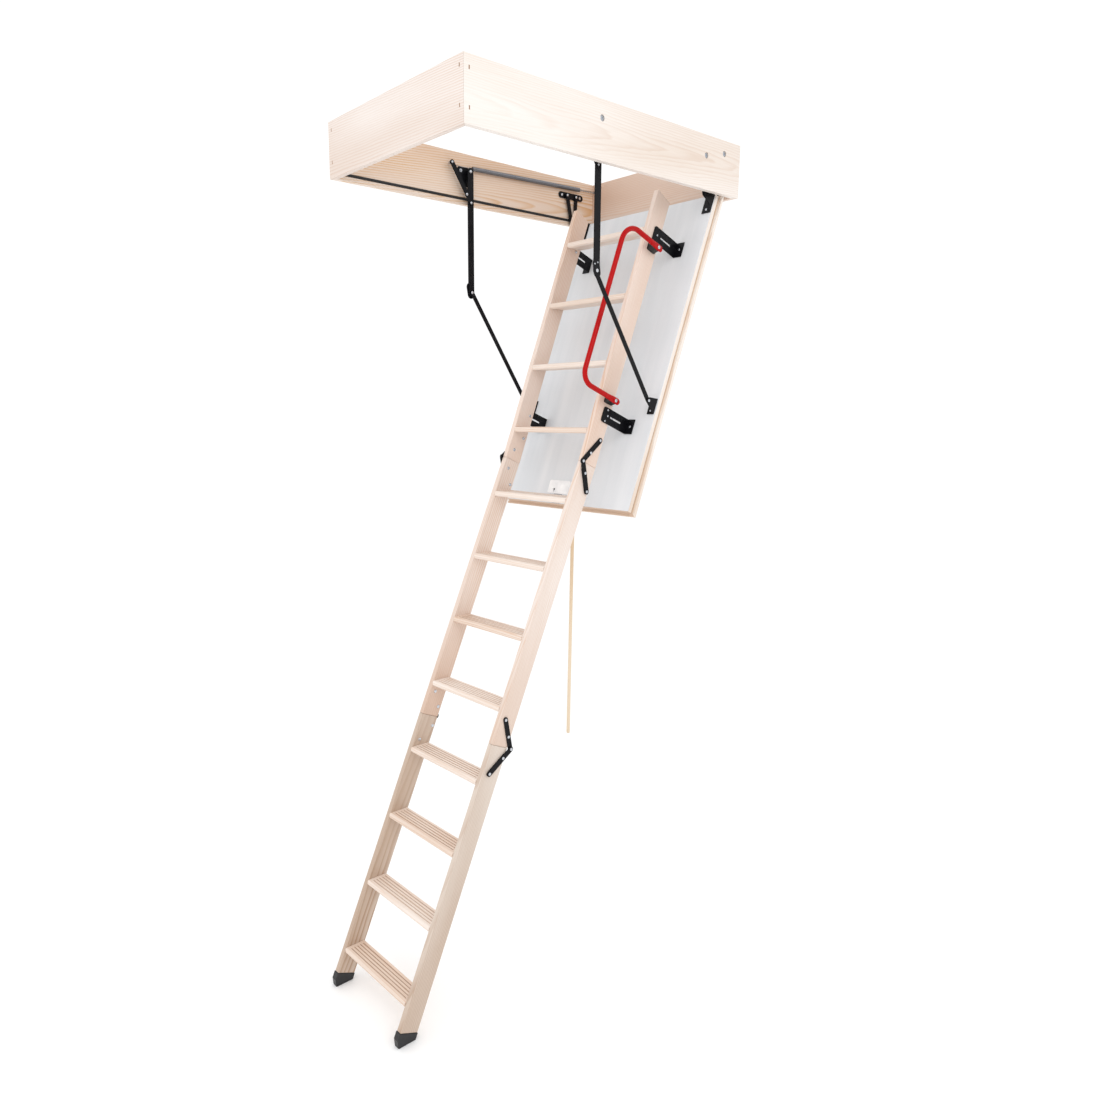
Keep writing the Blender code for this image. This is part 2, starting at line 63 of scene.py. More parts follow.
PIN_A, PIN_B, PIN_F, ELBOW = (0.430, 0.108), (0.482, 0.108), (-0.060, 0.108), (-0.059, -0.303)
PIN_C, PIN_D, PIN_K = (1.14974, 0.07795), (1.12409, 0.08953), (0.3851, 0.07445)      # in the hatch frame
LEVER_TIP, CHAIN_END = (-0.143, 0.1255), (0.5813, 0.1398)
COIL_START, COIL_END = (-0.043, 0.1225), (0.497, 0.1375)
SPRING_Y = 0.322
TREAD = dict(depth=0.078, thick=0.0195, half=0.1845, pitch=0.2416, back=0.0035)
POLE_TOP, POLE_END = Vector((0.1358, -0.03, -1.0835)), Vector((0.1268, -0.03, -1.928))
SIDES = (("near", -1.0), ("far", 1.0))
SQUARE = ((-1, -1), (1, -1), (1, 1), (-1, 1))
ACROSS = Vector((0, 1, 0))


def local(origin, angle, s, n):
    """World x, z of a point s along and n out from a frame tilted by angle."""
    return (origin[0] + s * math.cos(angle) - n * math.sin(angle),
            origin[1] + s * math.sin(angle) + n * math.cos(angle))


def hatch(s, y, n):
    x, z = local(HATCH_ORIGIN, HATCH_ANGLE, s, n)
    return Vector((x, y, z))


def around(steps):
    """Angles of points spaced evenly round a circle."""
    return [2 * math.pi * k / steps for k in range(steps)]


def hoop(centre, radius, steps):
    """Points of an upright circle in x and z."""
    return [centre + Vector((radius * math.cos(a), 0, radius * math.sin(a))) for a in around(steps)]


def rounded(half_a, half_b, radius, points):
    """Outline of a rectangle about its middle, with that many points on each round corner."""
    ring = []
    for (u, v), start in zip(SQUARE, (180, 270, 0, 90)):
        for k in range(points):
            t = math.radians(start + 90 * k / (points - 1))
            ring.append((u * (half_a - radius) + radius * math.cos(t),
                         v * (half_b - radius) + radius * math.sin(t)))
    return ring


HATCH_UP = Vector((math.cos(HATCH_ANGLE), 0, math.sin(HATCH_ANGLE)))
HATCH_OUT = Vector((-math.sin(HATCH_ANGLE), 0, math.cos(HATCH_ANGLE)))


# ---------------------------------------------------------------- material helpers
def shader(name, **values):
    mat = bpy.data.materials.new(name)
    mat.use_nodes = True
    tree = mat.node_tree
    bsdf = tree.nodes["Principled BSDF"]
    for key, value in values.items():
        bsdf.inputs[key.replace("_", " ")].default_value = value
    return mat, tree, bsdf


def node(tree, kind, inputs=None, **settings):
    made = tree.nodes.new("ShaderNode" + kind)
    for key, value in settings.items():
        setattr(made, key, value)
    for key, value in (inputs or {}).items():
        if isinstance(value, bpy.types.NodeSocket):
            tree.links.new(value, made.inputs[key])
        else:
            made.inputs[key].default_value = value
    return made


def maths(tree, operation, a, b=0.0, clamp=False):
    return node(tree, "Math", {0: a, 1: b}, operation=operation, use_clamp=clamp).outputs[0]


def blend_colour(tree, share, a, b, mode="MIX"):
    made = node(tree, "Mix", {0: share, 6: a, 7: b}, data_type="RGBA", blend_type=mode)
    return made.outputs[2]


def ramp(tree, value, *stops):
    made = node(tree, "ValToRGB", {0: value})
    while len(made.color_ramp.elements) < len(stops):
        made.color_ramp.elements.new(0.5)
    for element, (place, level) in zip(made.color_ramp.elements, stops):
        element.position = place
        element.color = (level, level, level, 1.0) if isinstance(level, (int, float)) else (*level, 1.0)
    return made.outputs[0]


def noise(tree, vector, scale, detail=2.0, rough=0.5, stretch=None):
    if stretch:
        vector = node(tree, "Mapping", {"Vector": vector, "Scale": stretch}).outputs[0]
    inputs = {"Vector": vector, "Scale": scale, "Detail": detail, "Roughness": rough}
    return node(tree, "TexNoise", inputs).outputs[0]


def bump(tree, bsdf, height, strength, distance):
    made = node(tree, "Bump", {"Height": height, "Strength": strength, "Distance": distance})
    tree.links.new(made.outputs[0], bsdf.inputs["Normal"])


def object_space(tree, rotation=(0, 0, 0), shift=(0, 0, 0)):
    here = node(tree, "TexCoord").outputs["Object"]
    return node(tree, "Mapping", {"Vector": here, "Rotation": rotation, "Location": shift}).outputs[0]


# ---------------------------------------------------------------- materials
ALONG_X, ALONG_Y, ALONG_Z = (0, 0, 0), (0, 0, math.radians(-90)), (0, math.radians(90), 0)
ALONG_HATCH, ALONG_LOWER = (0, HATCH_ANGLE, 0), (0, S2_ANGLE, 0)


RING_SCALE = 0.314                 # scale of the wave texture times the spacing of its rings


def wood(name, turn, base, line, figure, spacing, pith, lean, painted_shade=None):
    """Lacquered softwood: turn lays the grain on x, pith is where the rings' middle runs, lean
    makes the rings run out of the surface in arches, figure is how strong the rings show. A painted
    shade darkens by tint from start to full along one axis, up to an end if it has one."""
    mat, tree, bsdf = shader(name, Coat_Weight=0.12, Coat_Roughness=0.25)
    here = object_space(tree, turn)
    drawn = node(tree, "Mapping", {"Vector": here, "Scale": (2.0, 15, 15)}).outputs[0]
    wander = node(tree, "TexNoise", {"Vector": drawn, "Scale": 1.0, "Detail": 3.0}).outputs["Color"]
    offset = node(tree, "VectorMath", {0: wander, 1: (0.5, 0.5, 0.5)}, operation="SUBTRACT").outputs[0]
    offset = node(tree, "VectorMath", {0: offset, 1: (0, 0.017, 0.017)}, operation="MULTIPLY").outputs[0]
    bent = node(tree, "VectorMath", {0: here, 1: offset}, operation="ADD").outputs[0]
    tilt = (0, math.radians(lean * 1.6), math.radians(lean))
    rings_at = node(tree, "Mapping", {"Vector": bent, "Location": pith, "Rotation": tilt}).outputs[0]
    rings = node(tree, "TexWave", {"Vector": rings_at, "Scale": RING_SCALE / spacing, "Distortion": 0.0},
                 wave_type="RINGS", rings_direction="X", wave_profile="SAW").outputs["Fac"]
    rings = ramp(tree, rings, (0.0, 0.0), (0.45, 0.12), (0.86, 1.0), (0.97, 0.35), (1.0, 0.0))
    patch = ramp(tree, noise(tree, here, 1.0, 2.0, 0.5, (1.4, 7, 7)), (0.32, 0.25), (0.68, 1.0))
    fibre = noise(tree, here, 1.0, 3.0, 0.6, (9, 330, 330))
    pore = ramp(tree, noise(tree, here, 1.0, 2.0, 0.5, (26, 900, 900)), (0.60, 0.0), (0.78, 1.0))
    tone = noise(tree, here, 1.0, 1.0, 0.5, (0.9, 4.5, 4.5))
    show = maths(tree, "MULTIPLY", maths(tree, "MULTIPLY", rings, patch), figure, clamp=True)
    colour = blend_colour(tree, show, (*base, 1), (*line, 1))
    warm = tuple(c * k for c, k in zip(base, (0.985, 0.935, 0.88)))
    colour = blend_colour(tree, ramp(tree, tone, (0.35, 0.0), (0.72, 0.85)), colour, (*warm, 1), "MULTIPLY")
    soft = ramp(tree, fibre, (0.25, (0.955, 0.935, 0.91)), (0.7, (1.0, 1.0, 1.0)))
    colour = blend_colour(tree, 1.0, colour, soft, "MULTIPLY")
    colour = blend_colour(tree, maths(tree, "MULTIPLY", pore, 0.16), colour, (*line, 1))
    height = maths(tree, "SUBTRACT", maths(tree, "MULTIPLY", rings, 0.4), maths(tree, "MULTIPLY", fibre, 0.8))
    # painted shade: the colour darkens by the tint along one axis
    if painted_shade:
        axis, start, full, end, tint, amount = painted_shade
        along = node(tree, "SeparateXYZ", {0: here}).outputs[axis]
        share = node(tree, "MapRange", {0: along, 1: start, 2: full, 3: 0.0, 4: amount}).outputs[0]
        if end is not None:
            share = maths(tree, "MULTIPLY", share, maths(tree, "LESS_THAN", along, end))
        colour = blend_colour(tree, share, colour, (*tint, 1), "MULTIPLY")
    tree.links.new(colour, bsdf.inputs["Base Color"])
    tree.links.new(ramp(tree, fibre, (0.2, 0.36), (0.8, 0.55)), bsdf.inputs["Roughness"])
    bump(tree, bsdf, height, 0.35, 0.0004)
    return mat


PALE, PALE_LINE = (0.865, 0.815, 0.775), (0.70, 0.54, 0.44)
WARM, WARM_LINE = (0.78, 0.665, 0.595), (0.66, 0.38, 0.20)
TAN, TAN_LINE = (0.71, 0.625, 0.555), (0.46, 0.30, 0.20)
WOOD_NEAR = wood("pine_near_board", ALONG_X, PALE, PALE_LINE, 0.42, 0.0042, (0.1, 0.43, -0.075), 1.1)
WOOD_FAR = wood("pine_far_board", ALONG_X, (0.83, 0.735, 0.665), (0.71, 0.45, 0.22), 1.35, 0.0076,
                (0.3, -0.316, -0.024), 2.6)
WOOD_END = wood("pine_end_board", ALONG_Y, (0.83, 0.765, 0.725), (0.68, 0.50, 0.40), 1.0, 0.0062,
                (0.0, -0.555, 0.030), 1.8)
WOOD_HINGE = wood("pine_hinge_board", ALONG_Y, WARM, WARM_LINE, 0.6, 0.0052, (0.0, 0.62, -0.02), 0.8)
WOOD_S1 = wood("pine_top_section", ALONG_HATCH, (0.86, 0.765, 0.71), WARM_LINE, 0.75, 0.0055,
               (0.2, 0.12, -0.05), 0.9)
# the middle section darkens towards its foot: painted shade of the light falling off down the ladder
WOOD_S2 = wood("pine_mid_section", ALONG_LOWER, (0.86, 0.79, 0.75), WARM_LINE, 0.70, 0.0055,
               (0.4, 0.13, 0.6), 0.8,
               painted_shade=(0, -1.15, -1.80, None, (0.82, 0.71, 0.63), 1.0))
WOOD_S3 = wood("pine_foot_section", ALONG_LOWER, TAN, TAN_LINE, 1.0, 0.0062, (0.7, 0.235, 0.43), 1.2)
WOOD_TREAD = wood("pine_treads", ALONG_Y, (0.86, 0.775, 0.715), WARM_LINE, 0.60, 0.0064, (0.1, 0.5, 3.2), 0.3)
# the tan band over the step and groove along the edging's sides, 9 to 16.6 mm out from the back of the hatch,
# is painted shade of the groove
WOOD_EDGE = wood("pine_edging", ALONG_HATCH, (0.88, 0.83, 0.785), WARM_LINE, 0.4, 0.0045,
                 (0.1, 0.3, 0.0), 0.7,
                 painted_shade=(2, -0.5048, -0.5040, -0.4972, (0.82, 0.70, 0.58), 1.0))
# the end boards of the edging are the same pine as the sides, coloured darker: painted shade of their
# down-facing end faces
WOOD_EDGE_ACROSS_SHADED = wood("pine_edging_across_shaded", ALONG_Y, (0.70, 0.54, 0.42), (0.48, 0.29, 0.18), 0.75, 0.0040,
                        (0.2, 0.1, 0.9), 1.0)
WOOD_POLE = wood("pole_wood", ALONG_Z, (0.80, 0.68, 0.52), (0.58, 0.38, 0.20), 0.7, 0.0030,
                 (0, 0.0, 0.03), 0.5)


def coated_steel():
    """Black powder coat: fine orange peel, duller dust in places, thin wear."""
    mat, tree, bsdf = shader("black_powder_coat", Specular_IOR_Level=0.12, Coat_Weight=0.02,
                             Coat_Roughness=0.15)
    here = object_space(tree)
    peel = noise(tree, here, 950, 2.0)
    cloud = noise(tree, here, 22, 3.0)
    scuff = ramp(tree, noise(tree, here, 1.0, 4.0, 0.7, (260, 60, 260)), (0.66, 0.0), (0.74, 1.0))
    colour = blend_colour(tree, cloud, (0.003, 0.003, 0.004, 1), (0.008, 0.008, 0.010, 1))
    colour = blend_colour(tree, maths(tree, "MULTIPLY", scuff, 0.10), colour, (0.05, 0.05, 0.055, 1))
    tree.links.new(colour, bsdf.inputs["Base Color"])
    tree.links.new(ramp(tree, cloud, (0.3, 0.24), (0.7, 0.38)), bsdf.inputs["Roughness"])
    bump(tree, bsdf, peel, 0.25, 0.0002)
    return mat


def bright_metal(name, base, rough, brushed=(140, 140, 900)):
    mat, tree, bsdf = shader(name, Metallic=1.0)
    here = object_space(tree)
    fine = noise(tree, here, 1.0, 3.0, 0.6, brushed)
    cloud = noise(tree, here, 60, 2.0)
    dark = tuple(c * 0.72 for c in base)
    tree.links.new(blend_colour(tree, cloud, (*base, 1), (*dark, 1)), bsdf.inputs["Base Color"])
    tree.links.new(ramp(tree, fine, (0.3, rough * 0.75), (0.7, rough * 1.35)), bsdf.inputs["Roughness"])
    bump(tree, bsdf, fine, 0.15, 0.0001)
    return mat


def red_lacquer():
    mat, tree, bsdf = shader("red_lacquer", Coat_Weight=0.06, Coat_Roughness=0.06, Specular_IOR_Level=0.12)
    here = object_space(tree)
    cloud = noise(tree, here, 14, 3.0)
    fleck = ramp(tree, noise(tree, here, 1400, 1.0), (0.62, 0.0), (0.75, 1.0))
    colour = blend_colour(tree, cloud, (0.38, 0.0008, 0.0012, 1), (0.48, 0.002, 0.003, 1))
    colour = blend_colour(tree, maths(tree, "MULTIPLY", fleck, 0.12), colour, (0.85, 0.10, 0.08, 1))
    tree.links.new(colour, bsdf.inputs["Base Color"])
    tree.links.new(ramp(tree, cloud, (0.3, 0.20), (0.7, 0.30)), bsdf.inputs["Roughness"])
    bump(tree, bsdf, noise(tree, here, 420, 2.0), 0.08, 0.0002)
    return mat


def coated_board():
    """Hatch surface: a light grey coating with a faint weave, and soft darker streaks along the hatch that
    are painted shadow of the ladder on it.
    """
    mat, tree, bsdf = shader("grey_coated_board", Coat_Weight=0.05)
    here = object_space(tree, ALONG_HATCH)
    # painted shadow: soft darker streaks along the hatch stand for the ladder's soft shadows on the panel
    shadow_streak = noise(tree, here, 1.0, 3.0, 0.55, (1.3, 16, 16))
    cloud = noise(tree, here, 4.5, 3.0)
    grain = noise(tree, here, 620, 3.0, 0.65)
    share = ramp(tree, shadow_streak, (0.34, 0.0), (0.66, 1.0))
    colour = blend_colour(tree, share, (0.66, 0.685, 0.715, 1), (0.745, 0.76, 0.785, 1))
    colour = blend_colour(tree, maths(tree, "MULTIPLY", cloud, 0.35), colour, (0.80, 0.805, 0.815, 1))
    colour = blend_colour(tree, 0.5, colour, ramp(tree, grain, (0.3, 0.93), (0.7, 1.0)), "MULTIPLY")
    tree.links.new(colour, bsdf.inputs["Base Color"])
    tree.links.new(ramp(tree, cloud, (0.3, 0.50), (0.7, 0.62)), bsdf.inputs["Roughness"])
    bump(tree, bsdf, grain, 0.16, 0.0002)
    return mat


def moulded(name, base, rough, grain=800, depth=0.2):
    mat, tree, bsdf = shader(name)
    here = object_space(tree)
    fine, cloud = noise(tree, here, grain, 2.0), noise(tree, here, 35, 3.0)
    light = tuple(min(1.0, c * 1.35 + 0.004) for c in base)
    tree.links.new(blend_colour(tree, ramp(tree, cloud, (0.35, 0.0), (0.75, 0.7)), (*base, 1), (*light, 1)),
                   bsdf.inputs["Base Color"])
    tree.links.new(ramp(tree, fine, (0.3, rough * 0.85), (0.7, rough * 1.15)), bsdf.inputs["Roughness"])
    bump(tree, bsdf, fine, depth, 0.0003)
    return mat


STEEL = coated_steel()
ZINC = bright_metal("zinc_plate", (0.48, 0.50, 0.54), 0.24)
GROOVE = wood("tread_groove", ALONG_Y, (0.60, 0.45, 0.35), (0.42, 0.28, 0.19), 0.5, 0.0040,
              (0.1, 0.03, 0.05), 1.0)
RIVET = bright_metal("rivet_steel", (0.66, 0.68, 0.72), 0.18)
CHAIN = bright_metal("chain_steel", (0.42, 0.42, 0.44), 0.25)
WIRE = bright_metal("spring_wire", (0.27, 0.27, 0.29), 0.34, (900, 120, 900))
RED = red_lacquer()
PANEL = coated_board()
PLASTIC = moulded("black_plastic", (0.006, 0.006, 0.007), 0.42)
RUBBER = moulded("black_rubber", (0.005, 0.005, 0.006), 0.60, 500)
WHITE = moulded("white_plastic", (0.80, 0.80, 0.81), 0.35, 700, 0.1)
STAPLE = moulded("staple_slot", (0.30, 0.17, 0.10), 0.6, 900)
DARK = moulded("keyhole_shade", (0.10, 0.10, 0.11), 0.6, 900)


# ---------------------------------------------------------------- mesh helpers
def bevelled(ob, width, angle):
    mod = ob.modifiers.new("edges", "BEVEL")
    mod.width, mod.segments = width, 2
    mod.limit_method, mod.angle_limit = "ANGLE", math.radians(angle)
    mod.harden_normals = False


def finish(name, mesh, mat, body, smooth_angle=None, bevel=0.0):
    ob = bpy.data.objects.new(name, mesh)
    bpy.context.scene.collection.objects.link(ob)
    mesh.materials.clear()
    mesh.materials.append(mat)
    if smooth_angle is not None:
        mesh.shade_smooth()
        mesh.set_sharp_from_angle(angle=math.radians(smooth_angle))
    if bevel:
        bevelled(ob, bevel, 35)
    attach(ob, body)
    return ob


def from_bmesh(name, bm):
    bmesh.ops.recalc_face_normals(bm, faces=bm.faces)
    mesh = bpy.data.meshes.new(name)
    bm.to_mesh(mesh)
    bm.free()
    return mesh


def loft(name, rows, closed=False):
    """A mesh skinned over rows of points; the ends are capped unless the rows close on themselves."""
    bm = bmesh.new()
    loops = [[bm.verts.new(p) for p in row] for row in rows]
    count = len(loops[0])
    pairs = list(zip(loops, loops[1:])) + ([(loops[-1], loops[0])] if closed else [])
    for one, two in pairs:
        for k in range(count):
            j = (k + 1) % count
            bm.faces.new((one[k], one[j], two[j], two[k]))
    if not closed:
        bm.faces.new(loops[0])
        bm.faces.new(loops[-1][::-1])
    return from_bmesh(name, bm)


def turned(name, profile, centre, axis, steps=24):
    """Rings of (radius, height) about an axis; a radius of 0 makes a point."""
    axis = Vector(axis).normalized()
    side = axis.orthogonal().normalized()
    other = axis.cross(side)
    bm = bmesh.new()
    rings = []
    for radius, height in profile:
        middle = Vector(centre) + axis * height
        if radius < 1e-7:
            rings.append([bm.verts.new(middle)])
            continue
        rings.append([bm.verts.new(middle + (side * math.cos(a) + other * math.sin(a)) * radius)
                      for a in around(steps)])
    for one, two in zip(rings, rings[1:]):
        for k in range(steps):
            j = (k + 1) % steps
            corners = [one[k % len(one)], one[j % len(one)], two[j % len(two)], two[k % len(two)]]
            bm.faces.new(list(dict.fromkeys(corners)))
    for ring in (rings[0], rings[-1]):
        if len(ring) > 1:
            bm.faces.new(ring)
    return from_bmesh(name, bm)


def join(name, meshes):
    bm = bmesh.new()
    for mesh in meshes:
        bm.from_mesh(mesh)
        bpy.data.meshes.remove(mesh)
    made = bpy.data.meshes.new(name)
    bm.to_mesh(made)
    bm.free()
    return made


def cut(mesh, *tools):
    """mesh with the tools cut out of it."""
    ob = bpy.data.objects.new("cut", mesh)
    bpy.context.scene.collection.objects.link(ob)
    others = []
    for tool in tools:
        cutter = bpy.data.objects.new("cutter", tool)
        bpy.context.scene.collection.objects.link(cutter)
        others.append(cutter)
        mod = ob.modifiers.new("cut", "BOOLEAN")
        mod.object, mod.solver, mod.operation = cutter, "EXACT", "DIFFERENCE"
    bpy.context.view_layer.update()
    made = bpy.data.meshes.new_from_object(ob.evaluated_get(bpy.context.evaluated_depsgraph_get()))
    for old in (ob, *others):
        data = old.data
        bpy.data.objects.remove(old)
        bpy.data.meshes.remove(data)
    return made


def sweep(name, path, size, steps=12, up=Vector((0, 1, 0)), closed=False):
    """A tube along a path; size is a radius or, point by point, (across, along up) half sizes."""
    rows = []
    count = len(path)
    for k, here in enumerate(path):
        before = path[k - 1] if (k or closed) else here
        after = path[(k + 1) % count] if (k < count - 1 or closed) else here
        run = (after - before).normalized()
        lift = (up - run * up.dot(run)).normalized()
        side = run.cross(lift)
        a, b = size[k] if isinstance(size, list) else (size, size)
        rows.append([here + side * (math.cos(t) * a) + lift * (math.sin(t) * b)
                     for t in around(steps)])
    return loft(name, rows, closed)


def dome(radius, height, steps=6, base=0.0):
    """Profile of a low round head that stands on its base."""
    rows = [(radius, base), (radius, base + height * 0.25)]
    rows += [(radius * math.cos(a), base + height * (0.25 + 0.75 * math.sin(a)))
             for a in (math.pi / 2 * k / steps for k in range(1, steps))]
    return rows + [(0.0, base + height)]


def rivet(name, place, axis, body, radius, height):
    """Low round head, used for rivets, pins and plain bolts."""
    mesh = turned(name, dome(radius, height), place, axis, 20)
    return finish(name, mesh, RIVET, body, 40)


def screw(name, place, axis, body, radius=0.0042):
    """Pan head with a cross recess."""
    axis = Vector(axis).normalized()
    head = turned(name, dome(radius, 0.0020), place, axis, 24)
    side = axis.orthogonal().normalized()
    other = axis.cross(side)
    tools = []
    for one, two in ((side, other), (other, side)):
        middle = Vector(place) + axis * 0.0018
        rows = []
        for depth in (-0.0009, 0.0009):
            rows.append([middle + axis * depth + one * (u * radius * 0.62) + two * (v * radius * 0.15)
                         for u, v in SQUARE])
        tools.append(loft("recess", rows))
    return finish(name, cut(head, *tools), RIVET, body, 40)


# ---------------------------------------------------------------- camera, light, floor
CAMERA_AT, CAMERA_FORWARD = (-2.0535, -2.2264, -0.7467), (0.63471, 0.75195, -0.17808)
SENSOR_MM, LENS_MM, SHIFT_X, SHIFT_Y = 36.0, 27.94, 0.0432, 0.0197
FLOOR_Z = -2.6992
LIGHTS = (("key", (-1.6, -3.4, 1.6), (0.1, -0.3, -0.3), 29.0, 2.2),       # name, place, aim, watts, size
          ("fill", (-4.0, 0.3, -0.6), (0.0, 0.0, -0.8), 14.0, 2.5))


def look_at(ob, forward):
    ob.rotation_euler = Vector(forward).to_track_quat("-Z", "Y").to_euler()


def stand_camera(scene):
    data = bpy.data.cameras.new("camera")
    camera = bpy.data.objects.new("camera", data)
    scene.collection.objects.link(camera)
    camera.location = CAMERA_AT
    look_at(camera, CAMERA_FORWARD)
    data.sensor_width, data.lens = SENSOR_MM, LENS_MM
    data.shift_x, data.shift_y = SHIFT_X, SHIFT_Y
    data.clip_end = 200
    scene.camera = camera


def light_room(scene):
    world = bpy.data.worlds.new("studio")
    world.use_nodes = True
    background = world.node_tree.nodes["Background"]
    background.inputs[0].default_value = (1.0, 1.0, 1.0, 1)
    background.inputs[1].default_value = 1.06
    scene.world = world
    for name, place, aim, power, size in LIGHTS:
        light = bpy.data.lights.new(name, "AREA")
        light.energy, light.size = power, size
        ob = bpy.data.objects.new(name, light)
        scene.collection.objects.link(ob)
        ob.location = place
        look_at(ob, Vector(aim) - Vector(place))


def lay_floor(scene):
    bm = bmesh.new()
    bmesh.ops.create_grid(bm, x_segments=1, y_segments=1, size=60,
                          matrix=Matrix.Translation((0, 0, FLOOR_Z)))
    mesh = bpy.data.meshes.new("floor")
    bm.to_mesh(mesh)
    bm.free()
    mat, tree, bsdf = shader("floor", Roughness=0.9, Specular_IOR_Level=0.1)
    cloud = noise(tree, object_space(tree), 0.6, 2.0)
    colour = blend_colour(tree, cloud, (0.985, 0.985, 0.985, 1), (0.995, 0.995, 0.995, 1))
    tree.links.new(colour, bsdf.inputs["Base Color"])
    mesh.materials.append(mat)
    floor = bpy.data.objects.new("floor", mesh)
    scene.collection.objects.link(floor)


def studio():
    scene = bpy.context.scene
    stand_camera(scene)
    scene.view_settings.view_transform = "Standard"
    light_room(scene)
    lay_floor(scene)


# ---------------------------------------------------------------- box frame
BOLTS = ((-0.085, 0.118), (0.415, 0.106), (0.512, 0.128))           # along the board, and up
SIDE_STAPLES = ((-0.581, 0.041), (-0.581, 0.137))
END_STAPLES = ((-0.332, 0.047), (-0.332, 0.143), (0.332, 0.047), (0.332, 0.143))
WELL_RADIUS, WELL_DEPTH, BOLT_RADIUS, BOLT_SUNK = 0.0092, 0.0040, 0.0086, 0.0037


def staple(mid, normal, z):
    """The cutter of a slot in a board face, and the staple back that lies in it."""
    across = Vector((normal.y, normal.x, 0))
    made = []
    for half, tall, rise, sink in ((0.0019, 0.0050, 0.0010, 0.0014), (0.0018, 0.0048, -0.0005, 0.0030)):
        rows = [[mid + normal * n + across * (u * half) + Vector((0, 0, z + v * tall)) for u, v in SQUARE]
                for n in (-sink, rise)]
        made.append(loft("staple", rows))
    return made


def slotted_bolt(name, place, out):
    """Round head with a wide screwdriver slot."""
    head = turned(name, [(BOLT_RADIUS, 0.0)] + dome(BOLT_RADIUS, 0.0035, 6)[1:], place, out, 32)
    run = Vector((0.35, 0, 0.94))
    across = out.cross(run)
    rows = [[place + out * h + run * (u * 0.012) + across * (v * 0.0015) for u, v in SQUARE]
            for h in (0.0021, 0.006)]
    finish(name, cut(head, loft("slot", rows)), ZINC, "frame", 40)


def frame_board(word, normal, mat, staples, bolts=()):
    """Board with mitred ends on one side of the opening, with sunk bolt heads and staples."""
    run = Vector((abs(normal.y), abs(normal.x), 0))
    face, half = (HALF_W, HALF_L) if normal.y else (HALF_L, HALF_W)
    gap = 0.00015

    def on_face(u, z, out=0.0):
        return run * u + normal * (face + out) + Vector((0, 0, z))

    outline = [(half - gap, face), (-half + gap, face), (-half + BOARD + gap, face - BOARD),
               (half - BOARD - gap, face - BOARD)]
    rows = [[run * u + normal * n + Vector((0, 0, z)) for u, n in outline] for z in (0.0, HEIGHT)]
    pairs = [staple(run * u + normal * face, normal, z) for u, z in staples]
    well = [(WELL_RADIUS, -WELL_DEPTH), (WELL_RADIUS, 0.002)]
    wells = [turned("well", well, on_face(u, z), normal, 32) for u, z in bolts]
    mesh = cut(loft("board", rows), *[pair[0] for pair in pairs], *wells)
    ob = finish("board_" + word, mesh, mat, "frame", bevel=0.0009)
    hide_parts("frame_board_" + word)
    for k, pair in enumerate(pairs):
        finish("staple_%s_%d" % (word, k + 1), pair[1], STAPLE, "frame")
    for k, (u, z) in enumerate(bolts):
        slotted_bolt("frame_bolt_%s_%d" % (word, k + 1), on_face(u, z, -BOLT_SUNK), normal)


def seal():
    """Rubber lip seal that stands on the inner faces of the boards, mitred at its corners."""
    profile = [(-0.0005, 0.014), (0.0012, 0.0142), (0.0026, 0.0155), (0.0034, 0.0182), (0.0028, 0.0212),
               (0.0012, 0.0230), (-0.0005, 0.0232)]
    rows = []
    for sx, sy in SQUARE:
        rows.append([(sx * (HALF_L - BOARD - d), sy * (WALL - d), z) for d, z in profile])
    finish("rubber_seal", loft("seal", rows, closed=True), RUBBER, "frame", 40)


def frame_metal():
    """Screws and pin heads of the hinge plates, and the nut and chain eye on each side board."""
    heads = (("hinge_pin_head_a_", PIN_A, 0.3204, 0.0050, 0.0024),
             ("hinge_pin_head_b_", PIN_B, 0.3247, 0.0050, 0.0022),
             ("arm_pin_head_", PIN_F, 0.3094, 0.0055, 0.0024))
    screws = ((0.4075, 0.0028), (0.505, 0.00045))      # the rear link passes over the second, so it is thin
    nut = [(0.0068, 0.0), (0.0068, 0.0036), (0.0060, 0.0044), (0.0034, 0.0044), (0.0034, 0.0062),
           (0.0028, 0.0068)]
    for word, side in SIDES:
        inward = Vector((0, -side, 0))
        plate = side * (WALL - PLATE)
        for k, (x, height) in enumerate(screws):
            name = "hinge_plate_screw_%s_%d" % (word, k + 1)
            rivet(name, (x, plate, PIN_A[1]), inward, "frame", 0.0052, height)
        for name, (x, z), y, radius, height in heads:
            rivet(name + word, (x, side * y, z), inward, "frame", radius, height)
        mesh = turned("nut", nut, (-0.092, plate, 0.110), inward, 6)
        finish("arm_bracket_nut_" + word, mesh, ZINC, "frame", bevel=0.0003)
        y, z = side * SPRING_Y, CHAIN_END[1]
        ring = sweep("eye", hoop(Vector((0.5765, y, z)), 0.0042, 16), 0.0010, 8, closed=True)
        shank = turned("shank", [(0.0013, 0.0), (0.0013, 0.0025)], (0.5803, y, z), (1, 0, 0), 12)
        finish("chain_eye_" + word, join("eye", [ring, shank]), ZINC, "frame", 40)


# ---------------------------------------------------------------- springs
COIL_PITCH, COIL_RADIUS, COIL_WIRE = 0.0026, 0.0063, 0.00115
HOOK = [(0.001, 0.0063), (-0.004, 0.0050), (-0.007, 0.0), (-0.011, -0.0030), (-0.015, 0.0), (-0.011, 0.0030)]
TAIL = [(-0.001, 0.0063), (0.003, 0.0050), (0.006, 0.0), (0.010, -0.0030), (0.014, 0.0), (0.010, 0.0030)]


